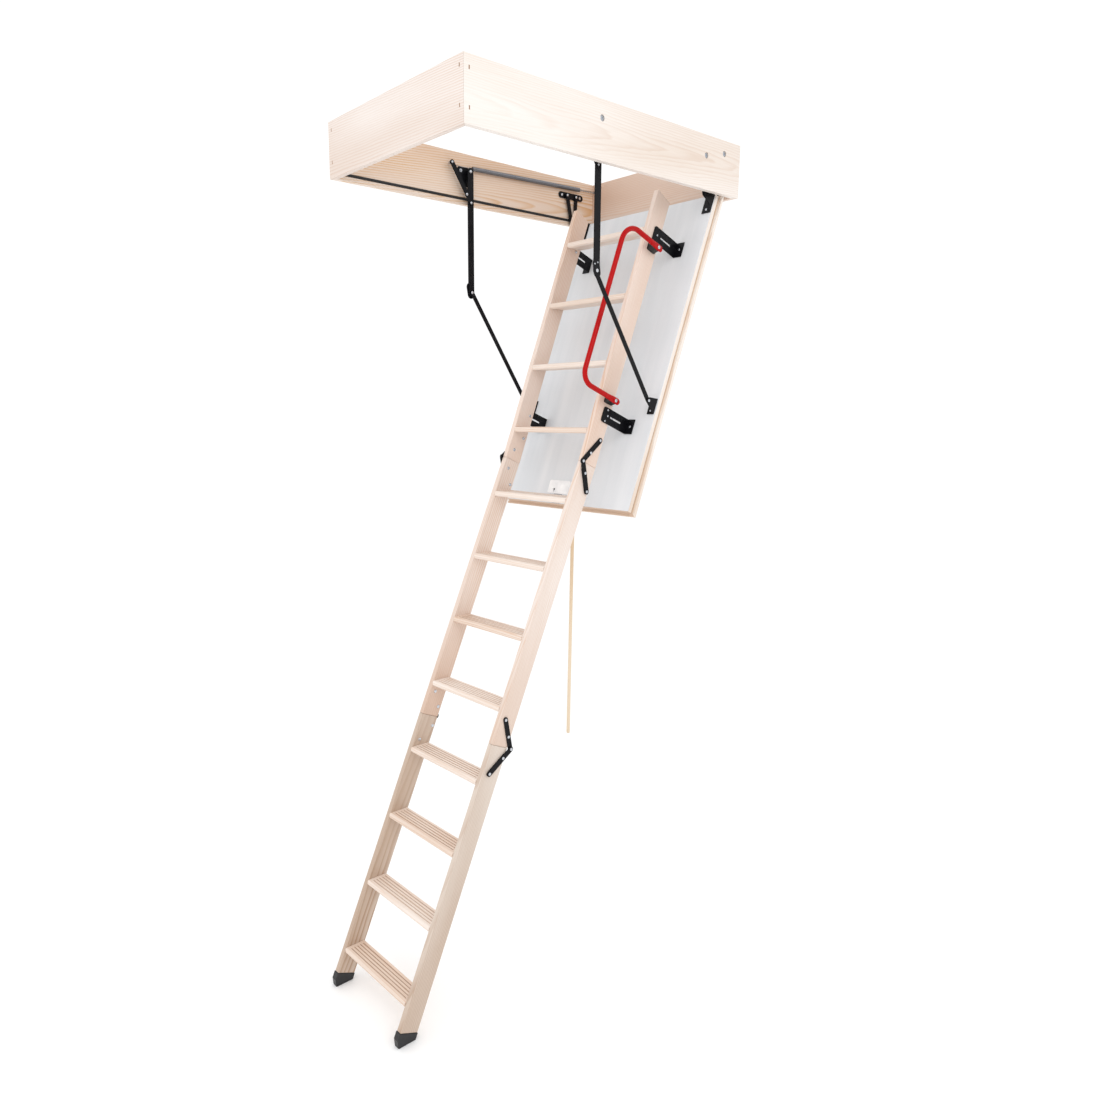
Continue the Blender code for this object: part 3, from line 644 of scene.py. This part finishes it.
def coil(start, run, lift, length):
    """Close-wound wire from start along run."""
    per_turn = 12
    path = []
    for k in range(int(length / COIL_PITCH) * per_turn + 1):
        a = 2 * math.pi * k / per_turn
        out = lift * math.cos(a) + ACROSS * math.sin(a)
        path.append(start + run * (k / per_turn * COIL_PITCH) + out * COIL_RADIUS)
    return sweep("coil", path, COIL_WIRE, 6, run)


def pull_wire(tip, end):
    """Wire with a slight sag from the loop on the lever's tip to the coil's hook."""
    sag = []
    for k in range(13):
        t = k / 12
        sag.append(tip.lerp(end, t) - Vector((0, 0, 0.0022 * math.sin(math.pi * t))))
    strand = sweep("wire", sag, 0.0010, 8)
    return join("pull", [strand, sweep("loop", hoop(tip, 0.0042, 14), 0.0010, 8, closed=True)])


def chain(start, end, lift):
    """Oval links, each turned a quarter from the last."""
    span = end - start
    along = span.normalized()
    count = int(span.length / 0.0068)
    links = []
    for k in range(count):
        middle = start + span * ((k + 0.5) / count)
        wide = lift if k % 2 else ACROSS
        oval = [middle + along * (math.cos(a) * 0.0046) + wide * (math.sin(a) * 0.0027) for a in around(14)]
        links.append(sweep("link", oval, 0.00095, 6, along.cross(wide), closed=True))
    return join("chain", links)


def springs():
    """The balance springs, built in the pose they have here; the real springs shorten towards their eyes as
    the hatch goes up.
    """
    for word, side in SIDES:
        y = side * SPRING_Y
        tip, one, two, end = (Vector((p[0], y, p[1])) for p in (LEVER_TIP, COIL_START, COIL_END, CHAIN_END))
        run = (two - one).normalized()
        lift = ACROSS.cross(run)
        hook = [one + run * t + lift * h for t, h in HOOK]
        tail = [two + run * t + lift * h for t, h in TAIL]
        hooks = join("hooks", [sweep("h", hook, COIL_WIRE, 8), sweep("t", tail, COIL_WIRE, 8)])
        links = chain(two + run * 0.012, end - Vector((0.004, 0, 0)), lift)
        for name, mesh, mat in (("spring_coil_", coil(one, run, lift, (two - one).length), WIRE),
                                ("spring_hook_", hooks, WIRE),
                                ("pull_wire_", pull_wire(tip, one - run * 0.013), WIRE),
                                ("anchor_chain_", links, CHAIN)):
            ob = finish(name + word, mesh, mat, "frame", 50)
            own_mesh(ob)
            if name == "spring_coil_":
                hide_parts("tension_spring_" + word)


# ---------------------------------------------------------------- hatch
def edging():
    """Four mitred boards with a groove and a lip, standing in for the one CAD ring."""
    profile = [(0.0, 0.0004), (0.0, 0.0080), (0.0010, 0.0090), (0.0092, 0.0090), (0.0104, 0.0100),
               (0.0104, 0.0136), (0.0136, 0.0142), (0.0136, 0.0158), (0.0104, 0.0164), (0.0104, 0.0298),
               (0.0116, 0.0308), (0.0470, 0.0308), (0.0470, 0.0), (0.0006, 0.0)]
    gap = 0.00012
    boards = []
    for word, side in SIDES:
        rows = [[hatch(HATCH_X0 + d + gap, side * (HATCH_HALF_W - d), n) for d, n in profile],
                [hatch(HATCH_X1 - d - gap, side * (HATCH_HALF_W - d), n) for d, n in profile]]
        boards.append(("side_" + word, rows, WOOD_EDGE))
    for word, s, turn in (("bottom", HATCH_X0, 1), ("top", HATCH_X1, -1)):
        rows = [[hatch(s + turn * d, side * (HATCH_HALF_W - d - gap), n) for d, n in profile]
                for side in (-1, 1)]
        boards.append((word, rows, WOOD_EDGE_ACROSS_SHADED))
    for k, (word, rows, mat) in enumerate(boards):
        ob = finish("edging_" + word, loft("edging", rows), mat, "hatch")
        if k == 0:
            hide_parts("hatch_edging")


def latch():
    """White latch plate with a key socket near the free end of the hatch, its tongue and its ferrule; the
    socket's dark floor is painted shade.
    """
    mid_s, mid_y, half_s, half_y = 0.070, 0.0315, 0.025, 0.0535
    key_s, key_y = 0.060, 0.052
    outline = rounded(half_s, half_y, 0.005, 5)
    rows = [[hatch(mid_s + u * k, mid_y + v * k, SURFACE + n) for u, v in outline]
            for n, k in ((0.0001, 1.0), (0.0075, 1.0), (0.0092, 0.97))]
    plate = loft("latch_plate", rows)
    hole = turned("hole", [(0.0052, -0.004), (0.0052, 0.006)], hatch(key_s, key_y, SURFACE + 0.0080),
                  HATCH_OUT, 24)
    key_slot = ((-0.011, -0.0016), (0, -0.0016), (0, 0.0016), (-0.011, 0.0016))
    slot = loft("slot", [[hatch(key_s + s, key_y + y, SURFACE + n) for s, y in key_slot]
                         for n in (0.0045, 0.012)])
    finish("latch_plate", cut(plate, hole, slot), WHITE, "hatch", 40)
    cup = [(0.0050, 0.0), (0.0050, 0.0012), (0.0030, 0.0012), (0.0030, 0.0006), (0.0, 0.0006)]
    # painted shade: the dark cup at the floor of the keyhole stands for the shade inside it
    socket = turned("socket", cup, hatch(key_s, key_y, SURFACE + 0.0042), HATCH_OUT, 24)
    finish("latch_socket_painted_shade", socket, DARK, "hatch", 40)
    corners = ((0.0105, 0.012), (0.046, 0.012), (0.046, 0.052), (0.0105, 0.052))
    tongue = [[hatch(s, y, SURFACE + n) for s, y in corners] for n in (0.0002, 0.0026)]
    finish("latch_tongue", loft("tongue", tongue), ZINC, "hatch", bevel=0.0005)
    ring = turned("ferrule", [(0.0030, 0.0), (0.0055, 0.0), (0.0055, 0.0012), (0.0030, 0.0012)],
                  hatch(0.0084, -0.05, 0.0215), -HATCH_UP, 20)
    finish("pull_ferrule", ring, ZINC, "hatch", 40)


LADDER_BRACKETS = (("upper", 0.958, ((0.0, 0.1435),)),               # place on the hatch, and its screws
                   ("lower", 0.306, ((0.0, 0.1380), (0.0190, 0.1440), (-0.0200, 0.1450))))


def bracket_metal(word, side, level, s, spots):
    """Screws of one ladder bracket, the bolt in its slot, and the bolt end on the stile's inner face."""
    inward = Vector((0, -side, 0))
    tag = "%s_%s" % (word, level)
    flange = hatch(s, side * 0.2245, SURFACE + PLATE)
    screw("bracket_flange_screw_" + tag, flange, HATCH_OUT, "hatch", 0.0042)
    for k, (ds, n) in enumerate(spots):
        spot = hatch(s + ds, side * (STILE_OUT + PLATE), n)
        screw("bracket_screw_%s_%d" % (tag, k + 1), spot, -inward, "hatch", 0.0036)
    end = hatch(s, side * (STILE_IN + 0.0001), spots[0][1])
    rivet("bracket_bolt_end_" + tag, end, inward, "hatch", 0.0056, 0.0026)
    slot = hatch(s, side * (STILE_OUT + 0.0002), 0.112)
    rivet("bracket_slot_bolt_" + tag, slot, -inward, "hatch", 0.0050, 0.0026)


def hatch_metal():
    leaf_y, flange = 0.2965, SURFACE + PLATE
    for word, side in SIDES:
        inward = Vector((0, -side, 0))
        for k, s in enumerate((1.095, 1.131)):
            name = "hatch_leaf_screw_%s_%d" % (word, k + 1)
            screw(name, hatch(s, side * leaf_y, flange), HATCH_OUT, "hatch")
        for name, (s, n), y, out, radius, height in (
                ("hatch_pin_head_c_", PIN_C, 0.3126, inward, 0.0048, 0.0022),
                ("hatch_pin_head_d_", PIN_D, 0.3126, inward, 0.0048, 0.0022),
                ("arm_foot_pin_", PIN_K, 0.3127, -inward, 0.0050, 0.0022),
                ("arm_foot_pin_inner_", PIN_K, 0.3053, inward, 0.0042, 0.0020)):
            rivet(name + word, hatch(s, side * y, n), out, "hatch", radius, height)
        for k, s in enumerate((0.364, 0.396)):
            name = "arm_foot_screw_%s_%d" % (word, k + 1)
            screw(name, hatch(s, side * leaf_y, flange), HATCH_OUT, "hatch", 0.0038)
        for level, s, spots in LADDER_BRACKETS:
            bracket_metal(word, side, level, s, spots)


# ---------------------------------------------------------------- arms
def strap(name, a, b, radius, y0, y1):
    """Flat bar with round ends between two points in x, z."""
    a, b = Vector((a[0], 0, a[1])), Vector((b[0], 0, b[1]))
    run = (b - a).normalized()
    side = Vector((run.z, 0, -run.x))
    ring = []
    for centre, start in ((a, 90), (b, -90)):
        for k in range(13):
            t = math.radians(start + 15 * k)
            ring.append(centre + run * (math.cos(t) * radius) + side * (math.sin(t) * radius))
    return loft(name, [[p + Vector((0, y, 0)) for p in ring] for y in (y0, y1)])


def arm_metal():
    """Rivets of the spring lever, and the knuckle, pin heads and small rivets of the elbow."""
    inner, outer, knuckle_out = 0.3063, 0.3135, 0.3149
    for word, side in SIDES:
        inward = Vector((0, -side, 0))
        for k, (x, z) in enumerate(((-0.0795, 0.029), (-0.060, 0.003))):
            tag = "%s_%d" % (word, k + 1)
            rivet("lever_rivet_" + tag, (x, side * inner, z), inward, "upper_arms", 0.0046, 0.0020)
            rivet("lever_rivet_out_" + tag, (x, side * outer, z), -inward, "upper_arms", 0.0042, 0.0018)
        tip = (LEVER_TIP[0], side * inner, LEVER_TIP[1])
        rivet("lever_tip_head_" + word, tip, inward, "upper_arms", 0.0042, 0.0018)
        x, z = ELBOW
        knuckle = strap("knuckle", (x - 0.0045, z + 0.0200), (x + 0.0005, z - 0.0060), 0.0150,
                        side * 0.3137, side * 0.3150)
        finish("elbow_knuckle_" + word, knuckle, STEEL, "upper_arms", bevel=0.0005)
        rivet("elbow_head_" + word, (x, side * knuckle_out, z), -inward, "upper_arms", 0.0056, 0.0026)
        rivet("elbow_head_inner_" + word, (x, side * 0.3055, z), inward, "upper_arms", 0.0052, 0.0022)
        for k, (dx, dz) in enumerate(((-0.0105, 0.0190), (0.0020, 0.0240))):
            spot = (x + dx, side * knuckle_out, z + dz)
            rivet("elbow_rivet_%s_%d" % (word, k + 1), spot, -inward, "upper_arms", 0.0026, 0.0012)


# ---------------------------------------------------------------- ladder
FLIGHTS = (("hatch", HATCH_ORIGIN, HATCH_ANGLE, 0.949, 0.1935),      # top tread, front of the stiles
           ("section_2", PIVOT_12, S2_ANGLE, -0.1534, -0.001),
           ("section_3", PIVOT_23, S2_ANGLE, -0.1435, 0.082))


def tread_outline(depth):
    """Cross-section of a tread, x back from the nose and z up, with grooves of the given depth."""
    d, t, r = TREAD["depth"], TREAD["thick"], 0.0072
    out = []
    for k in range(6):
        a = math.radians(180 + 90 * k / 5)
        out.append((r + r * math.cos(a), r + r * math.sin(a)))
    out += [(d - 0.003, 0.0), (d, 0.003), (d, t - 0.003), (d - 0.003, t)]
    for x in (0.0165 + 0.0118 * k for k in reversed(range(5))):
        out += [(x + 0.0019, t), (x + 0.0013, t - depth * 0.75), (x, t - depth),
                (x - 0.0013, t - depth * 0.75), (x - 0.0019, t)]
    for k in range(6):
        a = math.radians(90 + 90 * k / 5)
        out.append((r + r * math.cos(a), t - r + r * math.sin(a)))
    return out


def treads():
    """Grooved treads; the grooves run out before the stiles and their faces are coloured darker."""
    half = TREAD["half"]
    run_out = [(half, 0.0), (half - 0.014, 0.0), (half - 0.0165, 0.0009), (half - 0.020, 0.0015)]
    stations = [(-y, depth) for y, depth in run_out] + run_out[::-1]
    places = [(body, local(origin, angle, first - TREAD["pitch"] * k, front - TREAD["back"]))
              for body, origin, angle, first, front in FLIGHTS for k in range(4)]
    for k, (body, (x, z)) in enumerate(places):
        name = "tread_board_%02d" % (k + 1)
        mesh = loft(name, [[(x + px, y, z + pz) for px, pz in tread_outline(depth)] for y, depth in stations])
        ob = finish(name, mesh, WOOD_TREAD, body, 32)
        mesh.materials.append(GROOVE)
        for face in mesh.polygons:
            sunk, back = z + TREAD["thick"] - face.center.z, face.center.x - x
            grooved = abs(face.center.y) < half - 0.010 and 0.012 < back < TREAD["depth"] - 0.012
            if grooved and 0.0001 < sunk < 0.002:
                face.material_index = 1
        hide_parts("tread_%02d" % (k + 1))


def on_section(pivot):
    def place(s, y, n):
        x, z = local(pivot, S2_ANGLE, s, n)
        return Vector((x, y, z))
    return place


def hinge_rivets():
    """Rivet heads on the section hinges and their ends on the inner faces of the stiles."""
    upper, lower = (0.2084, 0.2124), (0.2117, 0.2117)            # faces of a leaf, and of its pin
    runs = (("12_upper", "hatch", hatch, ((0.127, 0.1945), (0.164, 0.167), (0.218, 0.1395)), upper),
            ("12_lower", "section_2", on_section(PIVOT_12),
             (None, (-0.0342, -0.0260), (-0.0879, -0.0585)), lower),
            ("23_upper", "section_2", on_section(PIVOT_12),
             ((-0.981, -0.083), (-0.9442, -0.0583), (-0.8935, -0.0239)), upper),
            ("23_lower", "section_3", on_section(PIVOT_23),
             (None, (-0.0343, 0.0222), (-0.0925, 0.0590)), lower))
    for word, side in SIDES:
        out = Vector((0, side, 0))
        for tag, body, place, spots, (leaf, pin) in runs:
            for k, spot in enumerate(spots):
                if spot is None:
                    continue
                s, n = spot
                name = "%s_%s_%d" % (tag, word, k)
                head = place(s, side * (leaf if k else pin), n)
                rivet("hinge_rivet_" + name, head, out, body, 0.0052, 0.0024)
                if k:
                    end = place(s, side * (STILE_IN + 0.0001), n)
                    rivet("stile_rivet_" + name, end, -out, body, 0.0062, 0.0028)


RAIL_TOP, RAIL_LOW = 0.906, 0.356                  # along the hatch
RAIL_OUT, RAIL_END = 0.323, 0.136                  # out from the back of the hatch
RAIL_Y, RAIL_RADIUS, FLAT_HALF, FLAT_THIN = -0.235, 0.0085, 0.0112, 0.38


def arc(centre, radius, start, end, steps):
    return [(centre[0] + radius * math.cos(a), centre[1] + radius * math.sin(a))
            for a in (math.radians(start + (end - start) * k / steps) for k in range(steps + 1))]


def handrail():
    """Bent tube whose two ends are pressed flat and bolted."""
    end, r, r1, r2 = RAIL_END, RAIL_RADIUS, 0.062, 0.046
    # place along the end, share of the flat's full width, share of its thinning
    flat = [(end - 0.0070, 0.10, 0.9), (end - 0.0055, 0.55, 0.9), (end - 0.002, 0.85, 0.9),
            (end + 0.004, 1.0, 0.9), (end + 0.026, 1.0, 0.9), (end + 0.034, 0.7, 0.7),
            (end + 0.044, 0.25, 0.35), (end + 0.054, 0.0, 0.0)]
    ends = []
    for n, wide, thin in flat:
        if n < end:
            ends.append((FLAT_HALF * wide, r * FLAT_THIN * (0.4 + 0.6 * wide)))
        else:
            ends.append((r + (FLAT_HALF - r) * wide, r - (r - r * FLAT_THIN) * thin / 0.9))
    bend = arc((RAIL_TOP - r1, RAIL_OUT - r1), r1, 0, 90, 16)
    bend += arc((RAIL_LOW + r2, RAIL_OUT - r2), r2, 90, 180, 14)
    path = [(RAIL_TOP, n) for n, _, _ in flat] + bend + [(RAIL_LOW, n) for n, _, _ in reversed(flat)]
    size = ends + [(r, r)] * len(bend) + ends[::-1]
    points = [hatch(s, RAIL_Y, n) for s, n in path]
    ob = finish("hand_rail", sweep("rail", points, size, 20), RED, "hatch", 45)
    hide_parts("handrail")
    for word, s in (("upper", RAIL_TOP), ("lower", RAIL_LOW)):
        rivet("rail_bolt_" + word, hatch(s, RAIL_Y - 0.0031, 0.150), (0, -1, 0), "hatch", 0.0062, 0.0032)
        rail_block(word, s)


def rail_block(word, s):
    """Moulded block between rail and stile, wider at the stile."""
    rows = []
    for y, grow in ((-0.2054, 1.0), (-0.2110, 1.0), (-0.2130, 0.9), (-0.2262, 0.78), (-0.2304, 0.74)):
        rows.append([hatch(s + u, y, 0.153 + v) for u, v in rounded(0.0125 * grow, 0.020 * grow, 0.004, 4)])
    ob = finish("rail_block_" + word, loft("block", rows), PLASTIC, "hatch", 35)
    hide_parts("handrail_block_" + word)


def pole():
    """Turned pole with a ferrule and a hook at its top."""
    run = (POLE_END - POLE_TOP).normalized()
    length = (POLE_END - POLE_TOP).length
    rows = [(0.0040, 0.028), (0.0056, 0.030), (0.0065, 0.034)]
    rows += [(0.0065 - 0.0003 * math.sin(math.pi * k / 10), 0.034 + (length - 0.040) * k / 10)
             for k in range(1, 10)]
    rows += [(0.0065, length - 0.006), (0.0060, length - 0.0025), (0.0045, length - 0.0006), (0.0, length)]
    ob = finish("pull_pole", turned("pole", rows, POLE_TOP, run, 28), WOOD_POLE, "pole", 40)
    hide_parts("opening_pole")
    ferrule = turned("ferrule", [(0.0018, 0.016), (0.0042, 0.018), (0.0047, 0.024), (0.0047, 0.033),
                                 (0.0040, 0.034)], POLE_TOP, run, 24)
    bend = ((0.020, 0.0), (0.010, 0.0), (0.004, 0.0012), (0.0022, 0.0035), (0.0040, 0.0058), (0.0080, 0.0064))
    hook = [POLE_TOP + run * along + Vector((out, 0, 0)) for along, out in bend]
    mesh = join("hook", [ferrule, sweep("h", hook, 0.0016, 10)])
    finish("pole_hook", mesh, ZINC, "pole", 40)


# ---------------------------------------------------------------- CAD nodes that keep their shape
def dress_cad():
    plain = {"hatch_panel": PANEL}
    for word in ("near", "far"):
        plain["stile_1_" + word] = WOOD_S1
        plain["stile_2_" + word] = WOOD_S2
        plain["stile_3_" + word] = WOOD_S3
        plain["foot_" + word] = PLASTIC
    for name, ob in NODES.items():
        mat = plain.get(name, STEEL)
        ob.data.materials.clear()
        ob.data.materials.append(mat)
        if mat is STEEL:
            bevelled(ob, 0.0005, 50)


studio()
dress_cad()
frame_board("near", Vector((0, -1, 0)), WOOD_NEAR, SIDE_STAPLES, BOLTS)
frame_board("far", Vector((0, 1, 0)), WOOD_FAR, SIDE_STAPLES, BOLTS)
frame_board("free_end", Vector((-1, 0, 0)), WOOD_END, END_STAPLES)
frame_board("hinge_end", Vector((1, 0, 0)), WOOD_HINGE, END_STAPLES)
seal()
frame_metal()
springs()
edging()
latch()
hatch_metal()
arm_metal()
treads()
hinge_rivets()
handrail()
pole()
